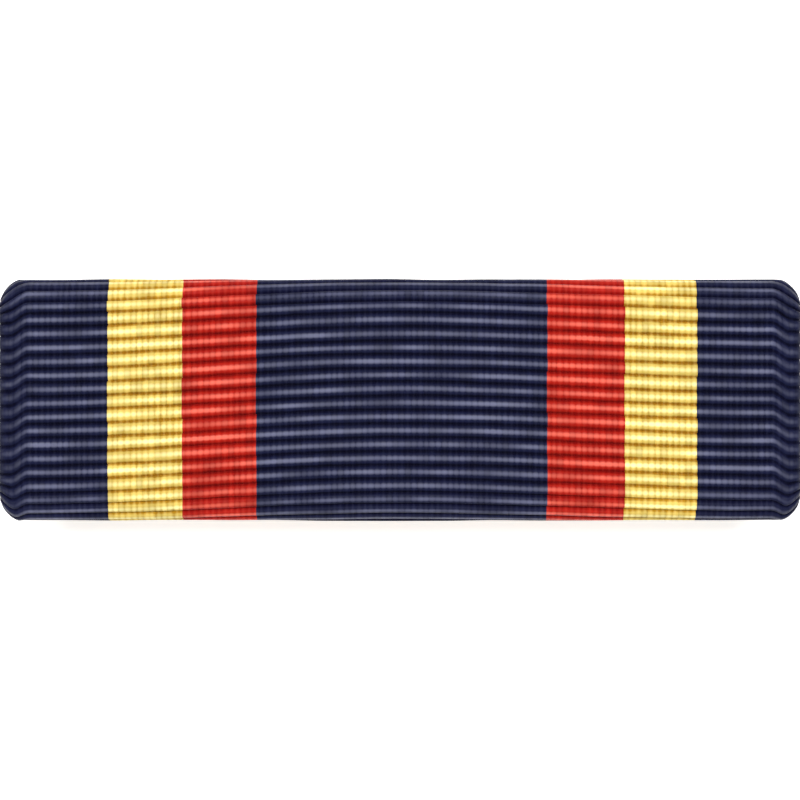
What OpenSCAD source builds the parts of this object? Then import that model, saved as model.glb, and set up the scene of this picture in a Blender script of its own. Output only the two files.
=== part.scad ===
/* [Ribbon] */
// Width of the woven ribbon, from selvedge to selvedge
ribbon_w = 34.925; // [28:0.005:45]
// Height of the mounted ribbon, between its two rounded long edges
ribbon_h = 10.55; // [9.5:0.05:14]
// Thickness of the cloth, measured in the grooves between its ribs
cloth_t = 1.0; // [0.8:0.05:1.4]
// Distance from one cross rib of the weave to the next
rib_pitch = 0.6; // [0.5:0.05:1]
// Height of a rib above the grooves beside it
rib_h = 0.15; // [0.08:0.01:0.2]
// Radius of the four corners, seen from the front
corner_r = 1.0; // [0.5:0.05:1.4]

/* [Bar] */
// Thickness of the core plate that the ribbon is wrapped round
core_t = 0.5; // [0.4:0.05:1]
// How far the core plate stays back from each selvedge
core_inset = 0.3; // [0.1:0.05:1]
// Thickness of the back plate that holds the ribbon's tails
back_t = 0.5; // [0.4:0.05:1]
// Height of the back plate
back_h = 6.5; // [5:0.1:7]
// How far the back plate stays back from each selvedge
back_inset = 0.7; // [0.4:0.05:2]
// Radius of the back plate's corners
back_corner_r = 0.8; // [0.3:0.05:1.5]
// Height of the web that joins the core plate to the back plate
web_h = 3.0; // [2:0.1:4]

/* [Posts] */
// Distance of each post from its end of the ribbon
post_inset = 7.5; // [5.5:0.1:9]
// Radius of a post
post_r = 0.55; // [0.4:0.05:0.8]
// Length of a post's tapered point
point_l = 1.2; // [0.6:0.1:1.6]

/* [Clutches] */
// Radius of the clutch's flange, which bears on the cloth of the coat
flange_r = 4.75; // [4:0.05:5]
// Thickness of the flange
flange_t = 0.9; // [0.6:0.05:1.4]
// Radius of the body behind the flange
body_r = 3.4; // [2.8:0.05:3.9]
// Length of the body
body_l = 1.8; // [1:0.1:3]
// Radius of the neck between the body and the cap
neck_r = 2.5; // [1.8:0.05:2.7]
// Length of the neck
neck_l = 0.6; // [0.3:0.05:1.2]
// Radius of the cap that the fingers pull
cap_r = 3.1; // [2.8:0.05:3.9]
// Length of the cap
cap_l = 2.1; // [1.6:0.1:3]
// Rounding of the cap's edges
cap_edge_r = 0.6; // [0.2:0.05:0.7]
// Rounding of the flange's rim
rim_r = 0.3; // [0.1:0.02:0.3]
// Solid metal left between the bore's end and the cap's flat face
bore_floor = 1.3; // [0.8:0.1:1.6]

/* [Clearances] */
// Gap between the cloth and the metal that it is wrapped round
cloth_gap = 0.05; // [0.03:0.01:0.1]
// Gap all round a post in its clutch, and at its point
post_gap = 0.05; // [0.03:0.01:0.1]
// Gap between the back plate and a clutch's flange
clutch_gap = 0.1; // [0.05:0.05:1]

/* [Hidden] */
$fn = 64;

// Colours of the silk and of the metal
NAVY = [0.10, 0.11, 0.21];
GOLD = [0.86, 0.70, 0.24];
RED = [0.62, 0.09, 0.08];
BRASS = [0.80, 0.63, 0.30];

// Stripes from left to right: colour, and share of the ribbon's width in 22nds
STRIPES = [
    [NAVY, 3],
    [GOLD, 2],
    [RED, 2],
    [NAVY, 8],
    [RED, 2],
    [GOLD, 2],
    [NAVY, 3],
];
STRIPE_COLOUR = 0;
STRIPE_SHARE = 1;

function shares_before(i) = i == 0 ? 0 : shares_before(i - 1) + STRIPES[i - 1][STRIPE_SHARE];
all_shares = shares_before(len(STRIPES));
function stripe_start(i) = ribbon_w * (shares_before(i) / all_shares - 1 / 2);
function stripe_w(i) = ribbon_w * STRIPES[i][STRIPE_SHARE] / all_shares;

// How far each post stands from the middle
post_x = ribbon_w / 2 - post_inset;

// Levels, counted up from the flat faces that the part lies on
clutch_h = cap_l + neck_l + body_l + flange_t;
back_z = clutch_h + clutch_gap;
mid_z = back_z + back_t + 2 * cloth_gap + cloth_t + core_t / 2;

// The wrapped ribbon's section is a flat oval: two half rounds joined by straight runs
inner_r = core_t / 2 + cloth_gap;
groove_r = inner_r + cloth_t;
edge_r = groove_r + rib_h;
straight = ribbon_h - 2 * edge_r;

// Ribs run round the oval at a whole number of steps from edge to edge
face_l = straight + PI * edge_r;
rib_count = round(face_l / rib_pitch);
rib_step = face_l / rib_count;
quarter_l = PI * edge_r / 2;
// A rib is a round whose crest stands rib_h above where it meets the next one
rib_r = (pow(rib_step / 2, 2) + pow(rib_h, 2)) / (2 * rib_h);
bed_r = groove_r - rib_h / 2;

// Centre of a rib at a distance round the front from the middle of the face
function on_straight(d) = abs(d) <= straight / 2;
function past_straight(d) = (abs(d) - straight / 2) / edge_r * 180 / PI;
function rib_centre(d) = on_straight(d)
    ? [d, edge_r - rib_r]
    : [
        sign(d) * (straight / 2 + (edge_r - rib_r) * sin(past_straight(d))),
        (edge_r - rib_r) * cos(past_straight(d)),
    ];

// Ribs that show on the back, beside the back plate
back_run = (straight - back_h) / 2;
back_ribs = ceil(max(0, back_run) / rib_step);
edge_ribs = round(2 * quarter_l / rib_step);

// A flat oval about the section's middle
module oval(r) {
    square([straight, 2 * r], center = true);
    for (side = [-1, 1])
        translate([side * straight / 2, 0])
            circle(r);
}

// A rectangle with round corners, centred
module round_rect(w, h, r) {
    square([w - 2 * r, h], center = true);
    square([w, h - 2 * r], center = true);
    for (x = [-1, 1], y = [-1, 1])
        translate([x * (w / 2 - r), y * (h / 2 - r)])
            circle(r);
}

// Half the section of a disc with a rounded rim, from the axis out
module disc_half(r, l, rim) {
    square([r - rim, l]);
    translate([0, rim])
        square([r, l - 2 * rim]);
    for (y = [rim, l - rim])
        translate([r - rim, y])
            circle(rim);
}

// Runs a section drawn in Y and Z along X
module along_x(start, l) {
    translate([start, 0, 0])
        rotate([90, 0, 90])
            linear_extrude(l)
                children();
}

// The cross ribs of the weave, over the front and round both long edges
module ribs() {
    for (i = [0 : rib_count - 1])
        translate(rib_centre((i + 0.5) * rib_step - face_l / 2))
            circle(rib_r);
    for (side = [-1, 1], i = [0 : edge_ribs / 2 + back_ribs])
        mirror([0, 1])
            translate(rib_centre(side * (face_l / 2 - (i + 0.5) * rib_step)))
                circle(rib_r);
}

// Section of the ribbon: wrapped round the core, its tails tucked behind the back plate
module ribbon_section() {
    translate([0, mid_z])
        difference() {
            union() {
                oval(bed_r);
                ribs();
                translate([-back_h / 2, -edge_r])
                    square([back_h, edge_r]);
            }
            oval(inner_r);
            translate([-web_h / 2 - cloth_gap, -2 * edge_r])
                square([web_h + 2 * cloth_gap, 2 * edge_r]);
            translate([-back_h / 2 - cloth_gap, -2 * edge_r])
                square([back_h + 2 * cloth_gap, 2 * edge_r - groove_r]);
        }
}

module ribbon() {
    intersection() {
        union()
            for (i = [0 : len(STRIPES) - 1])
                color(STRIPES[i][STRIPE_COLOUR])
                    along_x(stripe_start(i), stripe_w(i))
                        ribbon_section();
        translate([0, 0, mid_z - 2 * edge_r])
            linear_extrude(4 * edge_r)
                round_rect(ribbon_w, ribbon_h, corner_r);
    }
}

// The web runs from the middle of the core plate into the back plate
module web() {
    l = ribbon_w - 2 * max(core_inset, back_inset) - 2 * back_corner_r;
    translate([-l / 2, -web_h / 2, back_z + back_t / 2])
        cube([l, web_h, mid_z - back_z - back_t / 2]);
}

module post() {
    tip_z = bore_floor + post_gap;
    translate([0, 0, tip_z + point_l])
        cylinder(r = post_r, h = back_z + back_t / 2 - tip_z - point_l);
    translate([0, 0, tip_z])
        cylinder(r1 = post_r / 3, r2 = post_r, h = point_l);
}

module bar() {
    color(BRASS) {
        along_x(core_inset - ribbon_w / 2, ribbon_w - 2 * core_inset)
            translate([0, mid_z])
                oval(core_t / 2);
        web();
        translate([0, 0, back_z])
            linear_extrude(back_t)
                round_rect(ribbon_w - 2 * back_inset, back_h, back_corner_r);
        for (side = [-1, 1])
            translate([side * post_x, 0, 0])
                post();
    }
}

// A round clutch in one piece, standing on the flat face of its cap
module clutch() {
    color(BRASS)
        rotate_extrude()
            difference() {
                union() {
                    disc_half(cap_r, cap_l, cap_edge_r);
                    translate([0, cap_l / 2])
                        square([neck_r, neck_l + body_l]);
                    translate([0, cap_l + neck_l])
                        square([body_r, body_l + flange_t / 2]);
                    translate([0, clutch_h - flange_t])
                        disc_half(flange_r, flange_t, rim_r);
                }
                translate([0, bore_floor])
                    square([post_r + post_gap, clutch_h]);
            }
}

module clutch_left() {
    translate([-post_x, 0, 0])
        clutch();
}

module clutch_right() {
    translate([post_x, 0, 0])
        clutch();
}

ribbon();
bar();
clutch_left();
clutch_right();
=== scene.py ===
import math

import bmesh
import bpy
import numpy as np
from bpy.props import (
    FloatProperty,
    FloatVectorProperty,
    IntProperty,
    PointerProperty,
)
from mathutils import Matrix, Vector


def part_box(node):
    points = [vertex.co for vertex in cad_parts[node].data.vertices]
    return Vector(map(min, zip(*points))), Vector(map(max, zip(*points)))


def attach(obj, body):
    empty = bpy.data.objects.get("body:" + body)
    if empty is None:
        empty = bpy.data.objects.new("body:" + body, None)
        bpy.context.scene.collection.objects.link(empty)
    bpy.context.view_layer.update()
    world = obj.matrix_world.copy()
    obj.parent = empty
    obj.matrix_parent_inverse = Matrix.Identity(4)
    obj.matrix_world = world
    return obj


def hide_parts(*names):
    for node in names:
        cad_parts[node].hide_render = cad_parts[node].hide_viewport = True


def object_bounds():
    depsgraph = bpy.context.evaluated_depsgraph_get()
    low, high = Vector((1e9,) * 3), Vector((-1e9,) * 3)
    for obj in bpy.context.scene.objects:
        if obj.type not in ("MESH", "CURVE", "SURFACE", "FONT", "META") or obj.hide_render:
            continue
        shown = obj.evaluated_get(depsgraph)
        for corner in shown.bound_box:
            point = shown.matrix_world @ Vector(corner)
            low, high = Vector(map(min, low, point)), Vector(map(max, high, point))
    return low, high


bl_info = {
    "name": "Ribbon Bar",
    "version": (1, 0, 0),
    "blender": (4, 5, 0),
    "location": "3D View > Sidebar > Ribbon Bar",
    "description": "Weaves a striped medal ribbon round its bar and sets it in a plain studio",
    "category": "Object",
}

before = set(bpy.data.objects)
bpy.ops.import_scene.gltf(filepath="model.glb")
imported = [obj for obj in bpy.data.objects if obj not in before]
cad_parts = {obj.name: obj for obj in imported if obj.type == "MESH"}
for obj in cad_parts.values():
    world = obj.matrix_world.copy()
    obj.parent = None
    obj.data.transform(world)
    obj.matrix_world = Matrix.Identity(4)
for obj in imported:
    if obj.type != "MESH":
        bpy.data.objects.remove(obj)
CAD_LOW, CAD_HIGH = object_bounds()
RIBBON_LOW, RIBBON_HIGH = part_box("ribbon")

MM = 0.001
BODY = "root"

# Stripes from left to right: name of the silk, and share of the ribbon's width. The warp
# is set out in 22nds as 3, 2, 2, 8, 2, 2 and 3, and these are the widths it weaves to
STRIPES = [
    ("navy", 2.99),
    ("gold", 2.04),
    ("red", 2.03),
    ("navy", 7.97),
    ("red", 2.12),
    ("gold", 1.98),
    ("navy", 2.87),
]
ALL_SHARES = sum(share for _, share in STRIPES)

# The silk that the stripes of the others are set in
GROUND = STRIPES[0][0]

# How strongly each silk's warp yarns stand out, in their bump and in the painted shade between them
YARN_RELIEF = {"navy": 0.38, "gold": 0.65, "red": 0.48}


class RibbonSizes(bpy.types.PropertyGroup):
    """Sizes of the woven ribbon and of what it is wrapped round"""

    width: FloatProperty(
        name="Width",
        description="Width of the ribbon from selvedge to selvedge",
        default=RIBBON_HIGH.x - RIBBON_LOW.x,
        unit="LENGTH",
    )
    height: FloatProperty(
        name="Height",
        description="Height of the mounted ribbon over its two round long edges, ribs included",
        default=10.6 * MM,
        unit="LENGTH",
    )
    depth: FloatProperty(
        name="Depth",
        description="Depth of the wrapped ribbon from its face to its back, over the ribs",
        default=RIBBON_HIGH.z - RIBBON_LOW.z,
        unit="LENGTH",
    )
    cloth: FloatProperty(
        name="Cloth",
        description="Thickness of the cloth in the grooves between its ribs",
        default=0.93 * MM,
        unit="LENGTH",
    )
    rib_height: FloatProperty(
        name="Rib height",
        description="Height of a rib above the grooves beside it",
        default=0.22 * MM,
        unit="LENGTH",
    )
    rib_pitch: FloatProperty(
        name="Rib pitch",
        description="Distance from one cross rib to the next",
        default=0.602 * MM,
        unit="LENGTH",
    )
    arch_left: FloatProperty(
        name="Arch, left",
        description="How far the ribs drop from the middle to the left selvedge",
        default=0.65 * MM,
        unit="LENGTH",
    )
    arch_right: FloatProperty(
        name="Arch, right",
        description="How far the ribs drop from the middle to the right selvedge",
        default=0.45 * MM,
        unit="LENGTH",
    )
    hook: FloatProperty(
        name="Hook",
        description="How far the end of each rib turns down where the weft goes back",
        default=0.40 * MM,
        unit="LENGTH",
    )
    corner: FloatProperty(
        name="Corner",
        description="Size of the four corners, seen from the front",
        default=0.80 * MM,
        unit="LENGTH",
    )
    selvedge_roll: FloatProperty(
        name="Selvedge roll",
        description="Radius that the face turns down with at each selvedge",
        default=0.4 * MM,
        unit="LENGTH",
    )
    selvedge_band: FloatProperty(
        name="Selvedge band",
        description="Width of the band along each selvedge that the ribs' ends turn down in",
        default=1.3 * MM,
        unit="LENGTH",
    )
    rise: FloatProperty(
        name="Rise",
        description="How far the ribs lie above level at the middle",
        default=0.19 * MM,
        unit="LENGTH",
    )
    tail_press: FloatProperty(
        name="Tail press",
        description="How far the pressed tails lie below the level of the crests",
        default=0.16 * MM,
        unit="LENGTH",
    )
    tail_gap: FloatProperty(
        name="Tail gap",
        description="Distance of each tucked tail's end from the middle of the back",
        default=1.55 * MM,
        unit="LENGTH",
    )
    plate_edge: FloatProperty(
        name="Plate edge",
        description="Distance from the middle to the edge of the back plate that presses the tails",
        default=3.3 * MM,
        unit="LENGTH",
    )
    columns: IntProperty(
        name="Columns",
        description="Columns of faces across the flat of the ribbon",
        default=360,
        min=64,
    )
    yarn_pitch: FloatProperty(
        name="Yarn pitch",
        description="Distance from one warp yarn to the next",
        default=0.265 * MM,
        unit="LENGTH",
    )


class SilkColours(bpy.types.PropertyGroup):
    """Colours of the silk: a painted highlight for the crests of the ribs, the silk's own colour
    for their sides, and painted shade for the bottom of the grooves
    """

    # Painted highlight: the navy silk lightened where the crest of a rib faces the light
    navy_sheen: FloatVectorProperty(
        name="Navy sheen",
        description="Navy silk where the crest of a rib catches the light",
        default=(0.110, 0.116, 0.190),
        subtype="COLOR",
    )
    navy: FloatVectorProperty(
        name="Navy",
        description="Navy silk on the sides of a rib",
        default=(0.0055, 0.0075, 0.034),
        subtype="COLOR",
    )
    # Painted shade: the navy silk darkened where shade falls at the bottom of a groove
    navy_shade: FloatVectorProperty(
        name="Navy shade",
        description="Navy silk at the bottom of a groove",
        default=(0.0006, 0.0010, 0.016),
        subtype="COLOR",
    )
    # Painted highlight: the gold silk lightened where the crest of a rib faces the light
    gold_sheen: FloatVectorProperty(
        name="Gold sheen",
        description="Gold silk where the crest of a rib catches the light",
        default=(0.99, 0.91, 0.41),
        subtype="COLOR",
    )
    gold: FloatVectorProperty(
        name="Gold",
        description="Gold silk on the sides of a rib",
        default=(0.72, 0.52, 0.115),
        subtype="COLOR",
    )
    # Painted shade: the gold silk darkened where shade falls at the bottom of a groove
    gold_shade: FloatVectorProperty(
        name="Gold shade",
        description="Gold silk at the bottom of a groove",
        default=(0.42, 0.215, 0.012),
        subtype="COLOR",
    )
    # Painted highlight: the red silk lightened where the crest of a rib faces the light
    red_sheen: FloatVectorProperty(
        name="Red sheen",
        description="Red silk where the crest of a rib catches the light",
        default=(0.78, 0.125, 0.080),
        subtype="COLOR",
    )
    red: FloatVectorProperty(
        name="Red",
        description="Red silk on the sides of a rib",
        default=(0.39, 0.009, 0.003),
        subtype="COLOR",
    )
    # Painted shade: the red silk darkened where shade falls at the bottom of a groove
    red_shade: FloatVectorProperty(
        name="Red shade",
        description="Red silk at the bottom of a groove",
        default=(0.26, 0.002, 0.001),
        subtype="COLOR",
    )


class MetalColours(bpy.types.PropertyGroup):
    """Colours of the brass"""

    brass: FloatVectorProperty(
        name="Brass",
        description="Clean brass of the bar and the clutches",
        default=(0.68, 0.47, 0.19),
        subtype="COLOR",
    )
    tarnish: FloatVectorProperty(
        name="Tarnish",
        description="Brass that has dulled",
        default=(0.36, 0.23, 0.09),
        subtype="COLOR",
    )


class StudioSizes(bpy.types.PropertyGroup):
    """Camera, lights, floor and room"""

    lens: FloatProperty(
        name="Lens",
        description="Focal length of the camera",
        default=150,
        subtype="DISTANCE_CAMERA",
    )
    paper: FloatVectorProperty(
        name="Paper",
        description="Colour of the floor",
        default=(0.9, 0.9, 0.9),
        subtype="COLOR",
    )
    glow: FloatProperty(
        name="Glow",
        description="How strongly the floor is lit from below",
        default=0.75,
        min=0,
    )
    key_power: FloatProperty(
        name="Key power",
        description="Power of the strip light overhead",
        default=1.1,
        unit="POWER",
    )
    wide_power: FloatProperty(
        name="Wide power",
        description="Power of the wide light beyond the bottom edge",
        default=0.5,
        unit="POWER",
    )
    surround: FloatProperty(
        name="Surround",
        description="Brightness of the room overhead",
        default=0.06,
        min=0,
    )
    horizon: FloatProperty(
        name="Horizon",
        description="Brightness of the pale band round the floor's far edge",
        default=0.70,
        min=0,
    )


class RibbonBarSettings(bpy.types.PropertyGroup):
    """All settings of the ribbon bar"""

    ribbon: PointerProperty(type=RibbonSizes)
    silk: PointerProperty(type=SilkColours)
    metal: PointerProperty(type=MetalColours)
    studio: PointerProperty(type=StudioSizes)


class Field:
    """A socket of a shader graph. Arithmetic on it adds Math nodes."""

    def __init__(self, graph, socket):
        self.graph = graph
        self.socket = socket

    def math(self, operation, *values):
        inputs = dict(enumerate(values))
        return self.graph.node("ShaderNodeMath", {"operation": operation}, inputs)

    def __add__(self, other):
        return self.math("ADD", self, other)

    def __radd__(self, other):
        return self.math("ADD", other, self)

    def __sub__(self, other):
        return self.math("SUBTRACT", self, other)

    def __rsub__(self, other):
        return self.math("SUBTRACT", other, self)

    def __mul__(self, other):
        return self.math("MULTIPLY", self, other)

    def __rmul__(self, other):
        return self.math("MULTIPLY", other, self)

    def __truediv__(self, other):
        return self.math("DIVIDE", self, other)

    def __rtruediv__(self, other):
        return self.math("DIVIDE", other, self)

    def __pow__(self, other):
        return self.math("POWER", self, other)

    def __rpow__(self, other):
        return self.math("POWER", other, self)

    def __abs__(self):
        return self.math("ABSOLUTE", self)

    def __gt__(self, other):
        return self.math("GREATER_THAN", self, other)

    def floor(self):
        return self.math("FLOOR", self)

    def fract(self):
        return self.math("FRACT", self)

    def sin(self):
        return self.math("SINE", self)

    def clamp(self):
        return self.math("MINIMUM", self.math("MAXIMUM", self, 0.0), 1.0)

    def rise(self, low, high):
        """0 below low, 1 above high, and smooth between."""
        settings = {"interpolation_type": "SMOOTHSTEP"}
        inputs = {"Value": self, "From Min": low, "From Max": high}
        return self.graph.node("ShaderNodeMapRange", settings, inputs)


# The Mix node's sockets for colours, by number, because others have the same names
MIX_SHARE = 0
MIX_FIRST = 6
MIX_SECOND = 7
MIX_RESULT = 2


class Graph:
    """The nodes of a material, or of the room's light, which end in one shader."""

    def __init__(self, owner, shader_type="BSDF_PRINCIPLED"):
        owner.use_nodes = True
        self.owner = owner
        self.tree = owner.node_tree
        self.shader = next(n for n in self.tree.nodes if n.type == shader_type)

    def node(self, kind, settings=None, inputs=None, out=0):
        """Adds a node, sets its settings first, and then its sockets."""
        made = self.tree.nodes.new(kind)
        for name, value in (settings or {}).items():
            setattr(made, name, value)
        self.feed(made, inputs or {})
        return Field(self, made.outputs[out])

    def feed(self, made, inputs):
        for name, value in inputs.items():
            if isinstance(value, Field):
                self.tree.links.new(value.socket, made.inputs[name])
            else:
                made.inputs[name].default_value = value

    def attribute(self, name):
        return self.node("ShaderNodeAttribute", {"attribute_name": name}, out="Fac")

    def place(self):
        return self.node("ShaderNodeTexCoord", out="Object")

    def point(self, x, y):
        return self.node("ShaderNodeCombineXYZ", inputs={"X": x, "Y": y})

    def stretch(self, vector, scale):
        inputs = {0: vector, 1: scale}
        return self.node("ShaderNodeVectorMath", {"operation": "MULTIPLY"}, inputs)

    def noise(self, vector, scale=1.0, detail=2.0, roughness=0.5):
        inputs = {
            "Vector": vector,
            "Scale": scale,
            "Detail": detail,
            "Roughness": roughness,
        }
        return self.node("ShaderNodeTexNoise", inputs=inputs)

    def chance(self, vector):
        """A random value from 0 to 1 for each whole cell."""
        return self.node("ShaderNodeTexWhiteNoise", inputs={"Vector": vector})

    def mix(self, share, first, second, blend="MIX"):
        """Mixes two colours, given as links or as plain values."""
        settings = {"data_type": "RGBA", "blend_type": blend}
        colours = [c if isinstance(c, Field) else (*c, 1.0) for c in (first, second)]
        inputs = {MIX_SHARE: share, MIX_FIRST: colours[0], MIX_SECOND: colours[1]}
        return self.node("ShaderNodeMix", settings, inputs, out=MIX_RESULT)

    def grey(self, value):
        return self.node("ShaderNodeCombineColor", inputs={0: value, 1: value, 2: value})

    def bump(self, height, distance, normal=None):
        inputs = {"Height": height, "Distance": distance, "Strength": 1.0}
        if normal is not None:
            inputs["Normal"] = normal
        return self.node("ShaderNodeBump", inputs=inputs)


def smooth(low, high, value):
    """0 below low, 1 above high, and smooth between."""
    share = np.clip((value - low) / (high - low), 0, 1)
    return share * share * (3 - 2 * share)


# How many knots a random line has beyond one for each step
SPARE_KNOTS = 4


def drift(rng, rows, places, step):
    """A smooth random line for each row, from -1 to 1, with a turn about every step."""
    knots = rng.uniform(-1, 1, (rows, int(np.ptp(places) / step) + SPARE_KNOTS))
    at = (places - places.min()) / step
    whole = at.astype(int)
    part = smooth(0, 1, at - whole)
    return knots[:, whole] * (1 - part) + knots[:, whole + 1] * part


def round_drop(distance, radius, power=2.0):
    """How far a corner falls at a distance past its start: round at 2, a chamfer at 1."""
    past = np.clip(distance / radius, 0, 1)
    return radius * (1 - (1 - past**power) ** (1 / power))


# Past the back plate's edge, the distance in which the ribs come level and end
SETTLING = 0.4 * MM


class Wrapping:
    """The path that the ribbon takes round its core: a flat oval, from tail to tail."""

    def __init__(self, sizes):
        self.mid_z = (RIBBON_LOW.z + RIBBON_HIGH.z) / 2
        self.edge_r = sizes.depth / 2
        self.groove_r = self.edge_r - sizes.rib_height
        self.inner_r = self.groove_r - sizes.cloth
        self.straight = sizes.height - 2 * self.edge_r
        self.step = sizes.rib_pitch
        self.ribs = round((self.straight + math.pi * self.edge_r) / self.step)

        # Distances along the path from the middle of the face: to the start of the back, a
        # tail's end, the edge of the back plate that presses on it, and its last rib
        self.turned = self.straight / 2 + math.pi * self.edge_r
        self.tail = self.turned + self.straight / 2 - sizes.tail_gap
        self.pressed = self.turned + self.straight / 2 - sizes.plate_edge
        self.settled = self.pressed + SETTLING

    def rib_at(self, along):
        """Number of ribs from the bottom edge to a distance along the path."""
        return along / self.step + self.ribs / 2

    def point(self, along, radius):
        """Y and Z of a point at a distance along the path and a radius from its middle."""
        side = np.sign(along)
        past = np.abs(along) - self.straight / 2
        turn = np.clip(past, 0, math.pi * self.edge_r) / self.edge_r
        back = np.clip(past - math.pi * self.edge_r, 0, None)
        front = np.minimum(np.abs(along), self.straight / 2)
        y = side * (front - back + radius * np.sin(turn))
        return y, self.mid_z + radius * np.cos(turn)


# How finely the weave is meshed, and the seed of all that varies in it
ROWS_PER_RIB = 8
TAIL_ROWS = 4
ROLL_COLUMNS = 5
WEAVE_SEED = 11

# The higher these are, the flatter is the crest of a rib, and the rounder is a corner
CREST_POWER = 4.0
CORNER_POWER = 1.5

# Distance in which a rib's end turns down, from the inner side of the selvedge band
HOOK_TURN = 0.8 * MM

# Each groove wanders in long turns and in short ones
LONG_SWAY = 0.022 * MM
LONG_TURN = 4.5 * MM
SHORT_SWAY = 0.010 * MM
SHORT_TURN = 1.1 * MM

# How far before the back the grooves start to come level
LEVELLING = 1.5 * MM

# Height of the ribs as a share of the full one: the mean, how much it swells along a rib
# and in what distance, and how much it varies from rib to rib
MEAN_RISE = 0.95
SWELL = 0.10
SWELL_TURN = 2.4 * MM
RIB_VARIES = 0.08

# Each rib dips where its end turns down: the dip's distance from the selvedge, its half
# width, the share of the rib that it takes, and how far the cloth sinks
DIP_PLACE = 0.9 * MM
DIP_REACH = 0.32 * MM
DIP_SHARE = 0.65
DIP_SINK = 0.03 * MM

# It is lower at its very end, too: width of the end, and the share of the rib that it takes
END_WIDTH = 0.6 * MM
END_SHARE = 0.35

# Where the dips and the low ends start to fade and are gone, from the middle of the face,
# as shares of its straight run
FACE_FADE = (0.4, 0.6)

# Width of the slope down to where the back plate presses on a tail
PRESS_SLOPE = 0.25 * MM

# The weft's loops stand out at each crest, in a narrow band along the selvedge
LOOP_HEIGHT = 0.02 * MM
LOOP_BAND = 0.3 * MM

# Where the pull on a corner starts and is full, as shares of half the ribbon's height
CORNER_REACH = (0.55, 0.95)

# The hollow narrows to this share of its height, over this distance, at each selvedge
END_OPENING = 0.82
END_DEPTH = 0.28 * MM

# Columns of points on the ribbon's inside, from left to right: side, distance in from the
# selvedge, and share of the hollow's height
INSIDE_COLUMNS = [
    (-1, 0.0, END_OPENING),
    (-1, END_DEPTH, 1.0),
    (1, END_DEPTH, 1.0),
    (1, 0.0, END_OPENING),
]


def weave_columns(sizes):
    """X of each column of the weave, and how far the face has turned down there."""
    flat_half = sizes.width / 2 - sizes.selvedge_roll
    flat = np.linspace(-flat_half, flat_half, sizes.columns + 1)
    turn = np.linspace(0, math.pi / 2, ROLL_COLUMNS + 1)[1:]
    out = flat_half + sizes.selvedge_roll * np.sin(turn)
    x = np.concatenate([-out[::-1], flat, out])
    return x, round_drop(np.abs(x) - flat_half, sizes.selvedge_roll)


def weave_rows(path):
    """Rib number of each row of the weave, from one tail round the face to the other."""
    last = math.ceil(path.rib_at(path.settled) * ROWS_PER_RIB) / ROWS_PER_RIB
    first = path.ribs - last
    ribbed = np.arange(first, last + 0.5 / ROWS_PER_RIB, 1 / ROWS_PER_RIB)
    tail = np.linspace(path.rib_at(path.tail), last, TAIL_ROWS, endpoint=False)
    return np.concatenate([path.ribs - tail, ribbed, tail[::-1]])


def rib_profile(rib, height):
    """Height over the groove of a rib with a flattened crest, for each rib number."""
    off = 2 * np.abs(rib - np.floor(rib) - 0.5)
    return height * (1 - off**CREST_POWER)


def rib_level(x, sizes):
    """How far above level each rib lies across the ribbon: an arch with hooked ends."""
    arch = np.where(x < 0, sizes.arch_left, sizes.arch_right)
    flat_half = sizes.width / 2 - sizes.selvedge_band
    hook = sizes.hook * smooth(flat_half, flat_half + HOOK_TURN, np.abs(x))
    return sizes.rise - arch * smooth(0, flat_half, np.abs(x)) - hook


def wander(rng, x, groove, part):
    """How far each row strays from its level, between the groove before it and the next."""
    grooves = groove.max() + 2
    sway = LONG_SWAY * drift(rng, grooves, x, LONG_TURN)
    sway += SHORT_SWAY * drift(rng, grooves, x, SHORT_TURN)
    return sway[groove] * (1 - part) + sway[groove + 1] * part


def rib_heights(rng, x, groove):
    """Height of the rib at each row and column, as a share of the full one."""
    grooves = groove.max() + 2
    height = MEAN_RISE + SWELL * drift(rng, grooves, x, SWELL_TURN)[groove]
    return height + RIB_VARIES * rng.uniform(-1, 1, grooves)[groove][:, None]


def weave_face(sizes):
    """X, Y, Z and rib number of every point of the ribbon's outside, by row and column."""
    rng = np.random.default_rng(WEAVE_SEED)
    path = Wrapping(sizes)
    x, drop = weave_columns(sizes)
    rib = weave_rows(path)
    inside = sizes.width / 2 - np.abs(x)
    whole = np.floor(rib)
    groove = (whole - whole.min()).astype(int)
    part = (rib - whole)[:, None]

    # Place along the path, where all ribs come level before the tails go in
    level = (rib[:, None] - path.ribs / 2) * path.step
    free = 1 - smooth(path.turned - LEVELLING, path.settled, np.abs(level))
    along = level + (rib_level(x, sizes) + wander(rng, x, groove, part)) * free

    # Height of the ribs, which sink where their ends turn down on the face
    dip = np.exp(-(((inside - DIP_PLACE) / DIP_REACH) ** 2))
    end = 1 - smooth(0, END_WIDTH, inside)
    fade_start, fade_end = (share * path.straight for share in FACE_FADE)
    face = 1 - smooth(fade_start, fade_end, np.abs(level))
    lift = rib_profile(rib, sizes.rib_height)[:, None] * rib_heights(rng, x, groove)
    lift = lift * (1 - (DIP_SHARE * dip + END_SHARE * end) * face) - DIP_SINK * dip * face

    # The back plate presses the tails flat
    pressed = smooth(path.pressed - PRESS_SLOPE, path.pressed, np.abs(along))
    flat = path.edge_r - sizes.tail_press
    radius = (path.groove_r + lift) * (1 - pressed) + flat * pressed - drop
    y, z = path.point(along, radius)

    loop = -LOOP_HEIGHT * np.cos(2 * math.pi * rib)[:, None]
    across = x + np.sign(x) * loop * (1 - smooth(0, LOOP_BAND, inside))
    y = pull_corners(across, y, drop, sizes)
    return across, y, z, np.broadcast_to(rib[:, None], y.shape)


def pull_corners(x, y, drop, sizes):
    """Pulls the long edges in round the four corners, less what the roll there drops."""
    start = sizes.width / 2 - sizes.corner
    pull = np.maximum(round_drop(np.abs(x) - start, sizes.corner, CORNER_POWER) - drop, 0)
    reach = np.abs(y) / (sizes.height / 2)
    return y - np.sign(y) * pull * smooth(*CORNER_REACH, reach)


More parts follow.
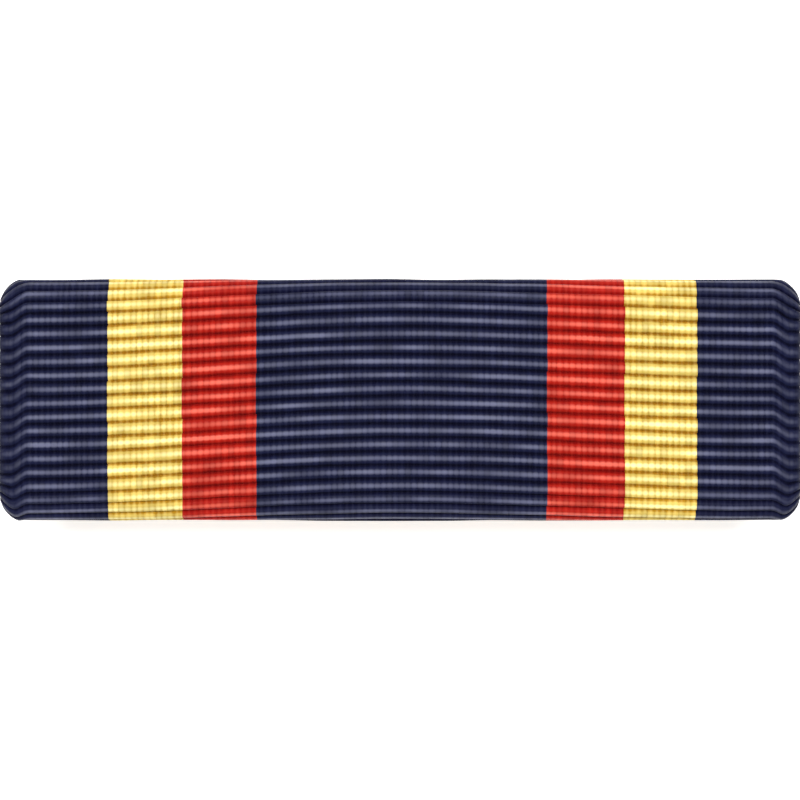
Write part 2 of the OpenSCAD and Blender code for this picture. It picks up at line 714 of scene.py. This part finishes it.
def weave_inside(sizes, rib):
    """The columns of points on the ribbon's inside, for the rib numbers of its rows."""
    path = Wrapping(sizes)
    along = np.clip((rib - path.ribs / 2) * path.step, -path.tail, path.tail)
    y, z = path.point(along, np.full(len(rib), path.inner_r))
    columns = []
    for side, depth, share in INSIDE_COLUMNS:
        x = np.full(len(rib), side * (sizes.width / 2 - depth))
        columns.append(np.stack([x, y * share, z], axis=-1))
    return columns


def quads(grid):
    """A face between each four neighbours in a grid of point numbers."""
    corners = (grid[:-1, :-1], grid[:-1, 1:], grid[1:, 1:], grid[1:, :-1])
    return np.stack(corners, axis=-1).reshape(-1, 4).tolist()


def add_values(mesh, name, values):
    """Gives each point of a mesh a number, which its material reads by name."""
    layer = mesh.attributes.new(name, "FLOAT", "POINT")
    layer.data.foreach_set("value", values.astype(np.float32))


def build_ribbon(sizes):
    """The woven ribbon as one closed mesh: its face, both selvedge ends, and its inside."""
    x, y, z, rib = weave_face(sizes)
    rows, columns = x.shape
    outside = rows * columns
    inner = weave_inside(sizes, rib[:, 0])
    points = np.concatenate([np.stack([x, y, z], axis=-1).reshape(-1, 3), *inner])
    ribs = np.concatenate([rib.reshape(-1), *[rib[:, 0]] * len(inner)])

    face = np.arange(outside).reshape(rows, columns)
    back = outside + np.arange(len(inner) * rows).reshape(len(inner), rows)
    faces = quads(face) + quads(np.stack([face[:, 0], *back, face[:, -1]]))
    rims = np.column_stack([face, back[::-1].T])
    faces += [rims[0, ::-1].tolist(), rims[-1].tolist()]

    mesh = bpy.data.meshes.new("woven_ribbon")
    mesh.from_pydata(points.tolist(), [], faces)
    add_values(mesh, "rib", ribs)
    add_values(mesh, "across", points[:, 0] / MM)
    mesh.validate()
    finish_mesh(mesh)
    crease_grooves(mesh, outside)
    return mesh


def finish_mesh(mesh):
    """Turns the faces outwards and shades them smooth."""
    work = bmesh.new()
    work.from_mesh(mesh)
    bmesh.ops.recalc_face_normals(work, faces=work.faces)
    work.to_mesh(mesh)
    work.free()
    mesh.shade_smooth()


def crease_grooves(mesh, outside):
    """Marks the bottom of each groove as a crease, on the ribbon's outside points alone."""
    rib = np.empty(len(mesh.vertices), np.float32)
    mesh.attributes["rib"].data.foreach_get("value", rib)
    ends = np.empty(2 * len(mesh.edges), np.int32)
    mesh.edges.foreach_get("vertices", ends)
    ends = ends.reshape(-1, 2)
    first, second = rib[ends].T
    sharp = (first == second) & (first == np.round(first)) & (ends.max(axis=1) < outside)
    mesh.attributes.new("sharp_edge", "BOOLEAN", "EDGE").data.foreach_set("value", sharp)


def stripe_masks(share):
    """For each silk besides the ground, 1 in its stripes and 0 outside them."""
    masks = {}
    start = 0
    for name, part in STRIPES:
        end = start + part
        if name != GROUND:
            inside = (share > start / ALL_SHARES) - (share > end / ALL_SHARES)
            masks[name] = masks[name] + inside if name in masks else inside
        start = end
    return masks


def striped(g, masks, shades):
    """The shade of each silk in its stripes, and of the ground elsewhere."""
    shade = shades[GROUND]
    for name, mask in masks.items():
        shade = g.mix(mask, shade, shades[name])
    return shade


# How far the yarns stray from even places, in mm, and how often they turn in one mm
STRAY = 0.12
STRAY_PER_MM = 1.7

# How far the edges of the stripes shift from rib to rib, in mm, and what picks each shift
# and the strength of each rib's painted highlight
EDGE_SHIFT = 0.05
SHIFT_SEED = 3.7
BRIGHT_SEED = 9.1

# From 0 in the groove to 1 on the crest, where the plain colour of a rib's side, which takes over
# from the painted groove shade, its painted highlight and its polish start and are full
SIDE = (0.08, 0.42)
HIGHLIGHT = (0.50, 0.97)
POLISH = (0.1, 0.55)

# In mm from the selvedge, where these start and are full: the ribbon's face, the ribs'
# turned ends, what lies past them, and the painted highlight
FACE = (0.02, 0.25)
TURN_START = (0.30, 0.70)
TURN_END = (1.0, 1.6)
FULL_HIGHLIGHT = (0.75, 1.45)

# Strength of the painted highlight, and how much it varies from rib to rib and in streaks
SHEEN = 0.62
SHEEN_BY_RIB = 0.35
SHEEN_BY_STREAK = 1.6

# Strength of the painted highlight on the selvedge's side and on the ribs' turned ends, against 1
# on the face
SIDE_HIGHLIGHT = 0.05
END_HIGHLIGHT = 0.30

# On the side of the selvedge, the level between painted groove shade and silk that the colour
# comes near, and how much of the ribs' painted contrast is left
SIDE_SHADE = 0.55
SIDE_CONTRAST = 0.35

# How dark the painted shade in the gaps between yarns is, and how high on a yarn it ends
GAP_SHADE = 0.5
GAP_LEVEL = 0.75

# How much the painted shade of the grooves varies along their length, and how much lighter
# it is in the ribs' turned ends
GROOVE_SHADE_VARIES = 1.7
END_LIFT = 0.25

# Shade of the silk, and how much it varies from yarn to yarn and in streaks
SHADE = 0.98
SHADE_BY_YARN = 0.24
SHADE_BY_STREAK = 0.55

# Roughness of the silk in a groove, and how much less it is on a crest and in streaks
GROOVE_ROUGHNESS = 0.95
CREST_POLISH = 0.39
STREAK_POLISH = 0.3

# Relief of the yarns: how round they are, how much it varies along a rib, how much each
# float stands up and leans, the fibres in it, and its depth
YARN_ROUND = 0.6
RELIEF_LOW = 0.3
RELIEF_VARIES = 1.4
FLOAT_LOW = 0.85
FLOAT_VARIES = 0.3
FLOAT_LEAN = 2.5
FIBRE_RELIEF = 0.2
YARN_DEPTH = 0.045 * MM


def woven_silk(sizes, silk):
    """Ribbed silk: stripes of dyed warp yarns, with a painted highlight and less roughness on the
    crests, and painted shade in the grooves and between the yarns.
    """
    g = Graph(bpy.data.materials.new("woven_silk"))
    across = g.attribute("across")
    rib = g.attribute("rib")
    number = rib.floor()
    groove = (rib + 0.5).floor()
    crest = 1 - 2 * abs(rib.fract() - 0.5)

    def uneven(rows, per_mm, step, detail=1.0):
        """Noise along each row, with a step in it from one row to the next."""
        return g.noise(g.point(across * per_mm, rows * step), detail=detail)

    stray = STRAY * g.noise(across * STRAY_PER_MM, detail=1.0)
    yarn = (across + stray) / (sizes.yarn_pitch / MM)
    crown = (yarn.fract() * math.pi).sin()
    float_shade = g.chance(g.point(yarn.floor(), number))
    streak = uneven(number, per_mm=0.42, step=7.31, detail=2.0)
    bright = g.chance(g.point(number, BRIGHT_SEED))
    groove_shade_varies = GROOVE_SHADE_VARIES * (uneven(groove, per_mm=1.9, step=5.3) - 0.5)

    # At each rib the edges of the stripes lie a little to the left or to the right
    shift = EDGE_SHIFT * (g.chance(g.point(number, SHIFT_SEED)) - 0.5)
    masks = stripe_masks((across + shift) / (sizes.width / MM) + 0.5)
    names = YARN_RELIEF.keys()
    # Each silk's painted highlight for the crests, its own colour, and its painted shade for the
    # grooves
    sheens = striped(g, masks, {name: getattr(silk, f"{name}_sheen") for name in names})
    silks = striped(g, masks, {name: getattr(silk, name) for name in names})
    shades = striped(g, masks, {name: getattr(silk, f"{name}_shade") for name in names})
    relief = striped(g, masks, {name: (value,) * 3 for name, value in YARN_RELIEF.items()})
    relief = relief * (RELIEF_LOW + RELIEF_VARIES * uneven(number, per_mm=0.6, step=0.9))

    # The ribs' ends turn down along each selvedge, where the painted highlight and painted shade
    # fade, nearly to plain on its side
    inside = sizes.width / MM / 2 - abs(across)
    face = inside.rise(*FACE)
    turned = inside.rise(*TURN_START) * (1 - inside.rise(*TURN_END))
    # Painted shade in the gaps between the yarns, which also dims the painted highlight there
    gap = relief * GAP_SHADE * (crown - GAP_LEVEL)
    lit = SHEEN + SHEEN_BY_RIB * bright + SHEEN_BY_STREAK * (streak - 0.5)
    # How strong the painted highlight is across the selvedge band
    highlight_strength = SIDE_HIGHLIGHT + (END_HIGHLIGHT - SIDE_HIGHLIGHT) * face
    highlight_strength = highlight_strength + (1 - END_HIGHLIGHT) * inside.rise(*FULL_HIGHLIGHT)
    # Painted highlight on the crests, dimmed between the yarns and towards the selvedge
    painted_sheen = (crest.rise(*HIGHLIGHT) * lit + gap).clamp() * highlight_strength
    # How far the painted shade of the groove gives way to the silk's own colour
    body = (crest.rise(*SIDE) + gap + END_LIFT * turned + groove_shade_varies).clamp()
    body = SIDE_SHADE + (body - SIDE_SHADE) * (SIDE_CONTRAST + (1 - SIDE_CONTRAST) * face)
    # Painted shade in the grooves, the silk's own colour on the sides, and painted highlight on the
    # crests
    colour = g.mix(painted_sheen, g.mix(body, shades, silks), sheens)
    shade = SHADE + SHADE_BY_YARN * (float_shade - 0.5) + SHADE_BY_STREAK * (streak - 0.5)
    colour = g.mix(1.0, colour, g.grey(shade), "MULTIPLY")

    roughness = GROOVE_ROUGHNESS - CREST_POLISH * crest.rise(*POLISH)
    roughness = roughness - STREAK_POLISH * (streak - 0.5)
    fibre = uneven(rib, per_mm=22.0, step=3.0, detail=2.0)
    lean = (float_shade - 0.5) * (rib.fract() - 0.5) * crest * FLOAT_LEAN
    height = crown**YARN_ROUND * relief * (FLOAT_LOW + FLOAT_VARIES * float_shade)
    height = height + FIBRE_RELIEF * fibre + lean
    g.feed(
        g.shader,
        {
            "Base Color": colour,
            "Roughness": roughness,
            "Normal": g.bump(height, YARN_DEPTH),
            "Specular IOR Level": 0.16,
        },
    )
    return g.owner


# From 0 to 1 of its noise, where the tarnish starts and is full, and how much of it shows
TARNISH_PATCH = (0.42, 0.72)
TARNISH_SHARE = 0.55

# How fine the tool marks are along X, Y and Z
MARK_SCALE = (700.0, 26000.0, 26000.0)

# What the tarnish, the tool marks and the specks add to the roughness
TARNISH_ROUGHNESS = 0.16
MARK_ROUGHNESS = 0.14
SPECK_ROUGHNESS = 0.05

# Relief of the specks against the tool marks, its depth, and the radius of worn edges
SPECK_RELIEF = 0.4
MARK_DEPTH = 0.004 * MM
WORN_EDGE = 0.07 * MM


def brass(name, metal, clean_roughness, brushed):
    """Brass with fine tool marks, worn edges and a little tarnish."""
    g = Graph(bpy.data.materials.new(name))
    place = g.place()
    patches = g.noise(place, scale=260.0, detail=4.0, roughness=0.6)
    tarnish = patches.rise(*TARNISH_PATCH)
    grain = g.noise(g.stretch(place, MARK_SCALE), detail=3.0, roughness=0.7)
    speck = g.noise(place, scale=3200.0)
    roughness = clean_roughness + TARNISH_ROUGHNESS * tarnish
    roughness = roughness + brushed * MARK_ROUGHNESS * (grain - 0.5) + SPECK_ROUGHNESS * speck
    edge = g.node("ShaderNodeBevel", {"samples": 6}, {"Radius": WORN_EDGE})
    relief = grain * brushed + SPECK_RELIEF * speck
    g.feed(
        g.shader,
        {
            "Base Color": g.mix(TARNISH_SHARE * tarnish, metal.brass, metal.tarnish),
            "Metallic": 1.0,
            "Roughness": roughness,
            "Normal": g.bump(relief, MARK_DEPTH, normal=edge),
        },
    )
    return g.owner


# How light the low spots of the floor's fine tooth are, against 1 on the high ones
TOOTH_SHADE = 0.985


def light_table(colour, glow):
    """Plain pale matt floor, lit from below so that only a faint shadow is left."""
    g = Graph(bpy.data.materials.new("light_table"))
    tooth = g.noise(g.place(), scale=900.0, detail=3.0)
    low = [TOOTH_SHADE * channel for channel in colour]
    g.feed(
        g.shader,
        {
            "Base Color": g.mix(tooth, low, colour),
            "Roughness": 0.9,
            "Specular IOR Level": 0.2,
            "Emission Color": (*colour, 1.0),
            "Emission Strength": glow,
        },
    )
    return g.owner


# From 0 at the horizon to 1 overhead, where the room's pale band starts to fade and is gone
BAND_FADE = (0.10, 0.30)


def studio_room(surround, horizon):
    """A dim room with a pale band all round at the height of the floor's far edge."""
    g = Graph(bpy.data.worlds.new("studio_room"), "BACKGROUND")
    direction = g.node("ShaderNodeTexCoord", out="Generated")
    height = g.node("ShaderNodeSeparateXYZ", inputs={"Vector": direction}, out="Z")
    band = 1 - height.rise(*BAND_FADE)
    g.feed(g.shader, {"Color": g.grey(surround + (horizon - surround) * band)})
    return g.owner


def show(name, mesh, material):
    """Links a new object for a mesh, with its material."""
    made = bpy.data.objects.new(name, mesh)
    bpy.context.scene.collection.objects.link(made)
    made.data.materials.clear()
    made.data.materials.append(material)
    return made


def repaint(node, material):
    """Gives a node of the frame a better material."""
    for holder in node.material_slots:
        holder.material = material


def softbox(name, place, target, size, power):
    """A rectangular area light that faces a target."""
    light = bpy.data.lights.new(name, "AREA")
    light.shape = "RECTANGLE"
    light.size, light.size_y = size
    light.energy = power
    made = bpy.data.objects.new(name, light)
    bpy.context.scene.collection.objects.link(made)
    made.location = place
    facing = Vector(target) - Vector(place)
    made.rotation_euler = facing.to_track_quat("-Z", "Y").to_euler()


class RIBBONBAR_OT_weave_ribbon(bpy.types.Operator):
    """Weave the ribbed, striped ribbon round the bar"""

    bl_idname = "ribbon_bar.weave_ribbon"
    bl_label = "Weave Ribbon"

    def execute(self, context):
        settings = context.scene.ribbon_bar
        sizes = settings.ribbon
        path = Wrapping(sizes)
        ribbon = show("woven_ribbon", build_ribbon(sizes), woven_silk(sizes, settings.silk))
        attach(ribbon, BODY)
        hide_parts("ribbon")
        2 * path.tail
        return {"FINISHED"}


class RIBBONBAR_OT_finish_bar(bpy.types.Operator):
    """Finish the brass bar with its back plate and posts"""

    bl_idname = "ribbon_bar.finish_bar"
    bl_label = "Finish Bar"

    def execute(self, context):
        metal = context.scene.ribbon_bar.metal
        material = brass("bar_brass", metal, clean_roughness=0.34, brushed=1.0)
        repaint(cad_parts["bar"], material)
        return {"FINISHED"}


class RIBBONBAR_OT_finish_clutches(bpy.types.Operator):
    """Finish the two brass clutches"""

    bl_idname = "ribbon_bar.finish_clutches"
    bl_label = "Finish Clutches"

    def execute(self, context):
        metal = context.scene.ribbon_bar.metal
        material = brass("clutch_brass", metal, clean_roughness=0.2, brushed=0.3)
        for name in ("clutch_left", "clutch_right"):
            repaint(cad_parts[name], material)
        return {"FINISHED"}


# Places and sizes of the two softboxes and of the floor, in metres
KEY_PLACE = (0.0, 0.06, 0.29)
KEY_SIZE = (0.22, 0.09)
WIDE_PLACE = (0.0, -0.3, 0.4)
WIDE_SIZE = (0.6, 0.25)
FLOOR_RADIUS = 1.2
FLOOR_SIDES = 96

# Pixels of the photograph's frame from side to side, and of the bar, which is a little wider
FRAME_PIXELS = 800
BAR_PIXELS = 802


class RIBBONBAR_OT_set_stage(bpy.types.Operator):
    """Lay the pale floor and set the studio lights and the camera"""

    bl_idname = "ribbon_bar.set_stage"
    bl_label = "Set Stage"

    def execute(self, context):
        settings = context.scene.ribbon_bar
        studio = settings.studio
        self.lay_floor(studio)
        self.set_lights(context, studio)
        self.set_camera(context, settings.ribbon, studio)
        return {"FINISHED"}

    def lay_floor(self, studio):
        mesh = bpy.data.meshes.new("floor")
        work = bmesh.new()
        bmesh.ops.create_circle(work, cap_ends=True, segments=FLOOR_SIDES, radius=FLOOR_RADIUS)
        work.to_mesh(mesh)
        work.free()
        show("floor", mesh, light_table(studio.paper, studio.glow))

    def set_lights(self, context, studio):
        middle = (0.0, 0.0, CAD_HIGH.z)
        softbox("key_light", KEY_PLACE, middle, KEY_SIZE, studio.key_power)
        softbox("wide_light", WIDE_PLACE, middle, WIDE_SIZE, studio.wide_power)
        context.scene.world = studio_room(studio.surround, studio.horizon)
        context.scene.view_settings.view_transform = "Standard"

    def set_camera(self, context, sizes, studio):
        seen_width = sizes.width * FRAME_PIXELS / BAR_PIXELS
        edge_z = CAD_HIGH.z - sizes.selvedge_roll
        data = bpy.data.cameras.new("camera")
        data.lens = studio.lens
        camera = bpy.data.objects.new("camera", data)
        context.scene.collection.objects.link(camera)
        camera.location = (0.0, 0.0, edge_z + seen_width * data.lens / data.sensor_width)
        data.clip_start = 0.01
        data.clip_end = 10.0
        context.scene.camera = camera


class RIBBONBAR_PT_sidebar(bpy.types.Panel):
    """Steps of the ribbon bar, in the order that they are made"""

    bl_idname = "RIBBONBAR_PT_sidebar"
    bl_label = "Ribbon Bar"
    bl_space_type = "VIEW_3D"
    bl_region_type = "UI"
    bl_category = "Ribbon Bar"

    def draw(self, context):
        settings = context.scene.ribbon_bar
        for step in STEPS:
            self.layout.operator(step.bl_idname)
        for part in ("ribbon", "silk", "metal", "studio"):
            group = getattr(settings, part)
            box = self.layout.box()
            for name in group.bl_rna.properties.keys():
                if name not in ("rna_type", "name"):
                    box.prop(group, name)


STEPS = (
    RIBBONBAR_OT_set_stage,
    RIBBONBAR_OT_weave_ribbon,
    RIBBONBAR_OT_finish_bar,
    RIBBONBAR_OT_finish_clutches,
)
CLASSES = (
    RibbonSizes,
    SilkColours,
    MetalColours,
    StudioSizes,
    RibbonBarSettings,
    *STEPS,
    RIBBONBAR_PT_sidebar,
)


def register():
    for made in CLASSES:
        bpy.utils.register_class(made)
    bpy.types.Scene.ribbon_bar = PointerProperty(type=RibbonBarSettings)


def unregister():
    del bpy.types.Scene.ribbon_bar
    for made in reversed(CLASSES):
        bpy.utils.unregister_class(made)


def main():
    register()
    for step in STEPS:
        group, name = step.bl_idname.split(".")
        getattr(getattr(bpy.ops, group), name)()


if __name__ == "__main__":
    main()
